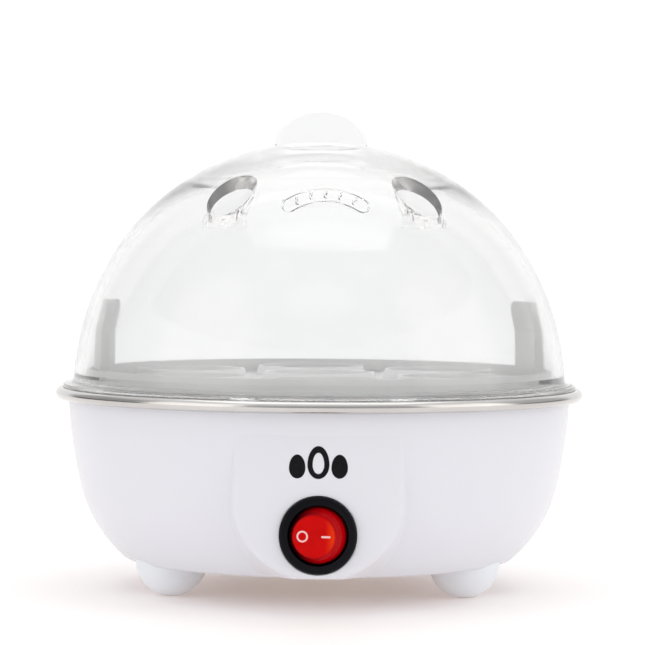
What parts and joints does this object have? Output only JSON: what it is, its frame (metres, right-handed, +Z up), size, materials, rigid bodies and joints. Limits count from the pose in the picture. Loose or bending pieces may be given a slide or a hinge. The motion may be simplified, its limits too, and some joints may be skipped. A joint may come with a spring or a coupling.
{
  "type": "egg cooker",
  "caption": "Round electric egg cooker with a lift-off clear dome lid, a lift-off egg tray, a steel heating dish and a rocker switch on a white bowl housing.",
  "frame": {"origin": "on the table, under the middle of the round housing, at the bottom centre of the whole cooker", "axes": "+Z up along the axis of the housing and lid, -Y towards the front with the switch, +X to the right seen from the front"},
  "size_m": [0.167, 0.167, 0.1519],
  "materials": {
    "white_plastic": "glossy bluish white polypropylene",
    "white_cover": "fine spark-textured white polypropylene",
    "foot_plastic": "satin greyish white plastic",
    "black_plastic": "semi-gloss black nylon",
    "black_print": "pad-printed black ink",
    "white_print": "hot-stamped white ink",
    "red_lens": "translucent red polycarbonate",
    "lamp_glass": "clear lamp glass",
    "polished_steel": "polished stainless steel",
    "zinc_steel": "bright zinc plate",
    "tube_steel": "dull annealed steel sheath",
    "aluminium": "as cast",
    "brass": "tinned brass",
    "silicone": "white silicone",
    "fuse_case": "crimped metal case",
    "natural_nylon": "natural nylon",
    "clear_plastic": "clear polished polycarbonate",
    "tray_plastic": "translucent grey polypropylene",
    "lead_brown": "brown insulated lead",
    "lead_red": "red heat-resistant lead",
    "lead_blue": "blue insulated lead",
    "lead_green": "green and yellow insulated lead"
  },
  "bodies": {
    "base": {"housing_shell": "white_plastic", "front_mark": "black_print", "cord_gland": "black_plastic", "bottom_cover": "white_cover", "cover_screws": "zinc_steel", "foot_washers": "zinc_steel", "foot_screws": "zinc_steel", "foot_front_left": "foot_plastic", "foot_front_right": "foot_plastic", "foot_rear": "foot_plastic", "switch_body": "black_plastic", "switch_lamp": "lamp_glass", "switch_terminals": "brass", "heating_dish": "polished_steel", "rim_seal": "silicone", "heat_spreader": "aluminium", "heating_tube": "tube_steel", "tube_terminals": "brass", "thermostat_cap": "aluminium", "thermostat_body": "black_plastic", "thermostat_bracket": "zinc_steel", "strap_screws": "zinc_steel", "thermal_fuse": "fuse_case", "fuse_clip": "zinc_steel", "dish_studs": "zinc_steel", "clamp_brackets": "zinc_steel", "clamp_washers": "zinc_steel", "clamp_nuts": "zinc_steel", "terminal_block": "natural_nylon", "block_screws": "zinc_steel", "spade_connectors": "natural_nylon", "earth_tag": "brass", "lead_fuse_in": "lead_red", "lead_live": "lead_brown", "lead_switched": "lead_red", "lead_fuse_out": "lead_red", "lead_neutral": "lead_blue", "lead_lamp": "lead_blue", "lead_earth": "lead_green"},
    "tray": {"egg_tray": "tray_plastic"},
    "lid": {"lid": "clear_plastic"},
    "rocker": {"switch_rocker": "red_lens", "rocker_marks": "white_print"}
  },
  "joints": [
    {"name": "tray_lift", "type": "slide", "parent": "base", "child": "tray", "axis": [0, 0, 1], "range_m": [0, 0.07]},
    {"name": "lid_lift", "type": "slide", "parent": "tray", "child": "lid", "axis": [0, 0, 1], "range_m": [0, 0.12]},
    {"name": "rocker_turn", "type": "hinge", "parent": "base", "child": "rocker", "pos_m": [0, -0.0764, 0.0243], "axis": [0, 0, 1], "range_deg": [0, 22]}
  ]
}
